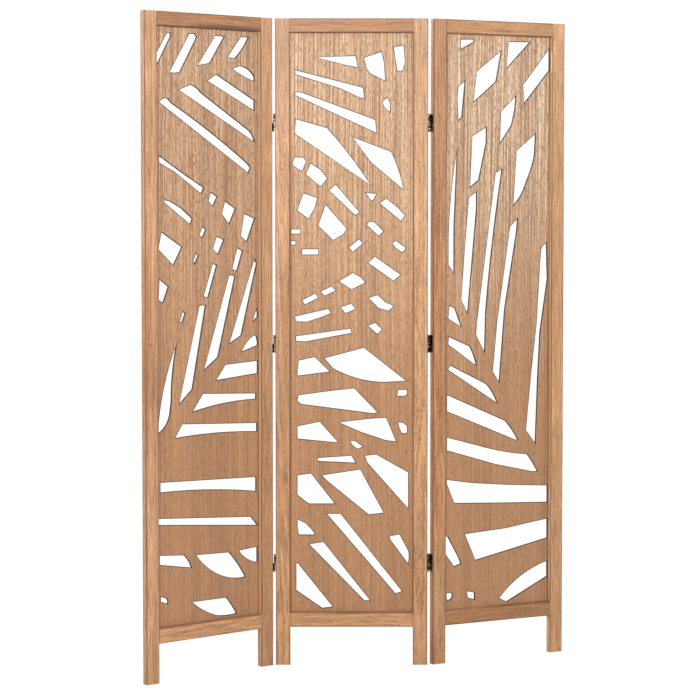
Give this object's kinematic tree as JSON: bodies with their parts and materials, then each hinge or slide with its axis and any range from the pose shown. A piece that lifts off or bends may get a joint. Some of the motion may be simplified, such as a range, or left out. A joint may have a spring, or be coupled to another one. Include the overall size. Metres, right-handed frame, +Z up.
{
  "type": "folding screen",
  "caption": "Folding room screen: hinged wooden frames, each round a thin sheet pierced with palm-leaf cut-outs, standing on its stile feet; the leaves fold both ways.",
  "frame": {"origin": "on the floor, in the middle of the box that the opened screen fills", "axes": "+Z up, +X to the right and +Y away from someone who looks at the front of the middle leaf"},
  "size_m": [1.1011, 0.4515, 1.7],
  "materials": {
    "frame_wood": "light brown open-grained softwood-like hardwood, thin matt stain",
    "top_rail_wood": "the same wood in a redder board, thin matt stain",
    "sheet_veneer": "straight-grained veneered sheet, matt, with dark cut edges",
    "dowel_wood": "bare beech",
    "hinge_bronze": "dark bronze plated steel",
    "screw_steel": "dark bronze plated steel"
  },
  "bodies": {
    "middle_leaf": {"middle_left_stile": "frame_wood", "middle_right_stile": "frame_wood", "middle_top_rail": "top_rail_wood", "middle_bottom_rail": "frame_wood", "middle_pierced_sheet": "sheet_veneer", "middle_dowels": "dowel_wood", "middle_left_hinge_screws": "screw_steel", "middle_right_hinge_screws": "screw_steel", "left_bottom_hinge_middle_flap": "hinge_bronze", "left_centre_hinge_middle_flap": "hinge_bronze", "left_top_hinge_middle_flap": "hinge_bronze", "right_bottom_hinge_middle_flap": "hinge_bronze", "right_centre_hinge_middle_flap": "hinge_bronze", "right_top_hinge_middle_flap": "hinge_bronze"},
    "left_links": {"left_bottom_hinge_link": "hinge_bronze", "left_bottom_hinge_front_pin": "hinge_bronze", "left_bottom_hinge_back_pin": "hinge_bronze", "left_centre_hinge_link": "hinge_bronze", "left_centre_hinge_front_pin": "hinge_bronze", "left_centre_hinge_back_pin": "hinge_bronze", "left_top_hinge_link": "hinge_bronze", "left_top_hinge_front_pin": "hinge_bronze", "left_top_hinge_back_pin": "hinge_bronze"},
    "left_leaf": {"left_outer_stile": "frame_wood", "left_inner_stile": "frame_wood", "left_top_rail": "top_rail_wood", "left_bottom_rail": "frame_wood", "left_pierced_sheet": "sheet_veneer", "left_dowels": "dowel_wood", "left_hinge_screws": "screw_steel", "left_bottom_hinge_outer_flap": "hinge_bronze", "left_centre_hinge_outer_flap": "hinge_bronze", "left_top_hinge_outer_flap": "hinge_bronze"},
    "right_links": {"right_bottom_hinge_link": "hinge_bronze", "right_bottom_hinge_front_pin": "hinge_bronze", "right_bottom_hinge_back_pin": "hinge_bronze", "right_centre_hinge_link": "hinge_bronze", "right_centre_hinge_front_pin": "hinge_bronze", "right_centre_hinge_back_pin": "hinge_bronze", "right_top_hinge_link": "hinge_bronze", "right_top_hinge_front_pin": "hinge_bronze", "right_top_hinge_back_pin": "hinge_bronze"},
    "right_leaf": {"right_inner_stile": "frame_wood", "right_outer_stile": "frame_wood", "right_top_rail": "top_rail_wood", "right_bottom_rail": "frame_wood", "right_pierced_sheet": "sheet_veneer", "right_dowels": "dowel_wood", "right_hinge_screws": "screw_steel", "right_bottom_hinge_outer_flap": "hinge_bronze", "right_centre_hinge_outer_flap": "hinge_bronze", "right_top_hinge_outer_flap": "hinge_bronze"}
  },
  "joints": [
    {"name": "left_front_fold", "type": "hinge", "parent": "middle_leaf", "child": "left_links", "pos_m": [-0.22554, 0.02719, 0.85], "axis": [0, 0, 1], "range_deg": [-39, 141]},
    {"name": "left_back_fold", "type": "hinge", "parent": "left_links", "child": "left_leaf", "pos_m": [-0.23788, 0.04242, 0.85], "axis": [0, 0, -1], "range_deg": [0, 90]},
    {"name": "right_front_fold", "type": "hinge", "parent": "middle_leaf", "child": "right_links", "pos_m": [0.18146, 0.02719, 0.85], "axis": [0, 0, -1], "range_deg": [0, 90]},
    {"name": "right_back_fold", "type": "hinge", "parent": "right_links", "child": "right_leaf", "pos_m": [0.18146, 0.04679, 0.85], "axis": [0, 0, 1], "range_deg": [-26.5, 153.5]}
  ]
}
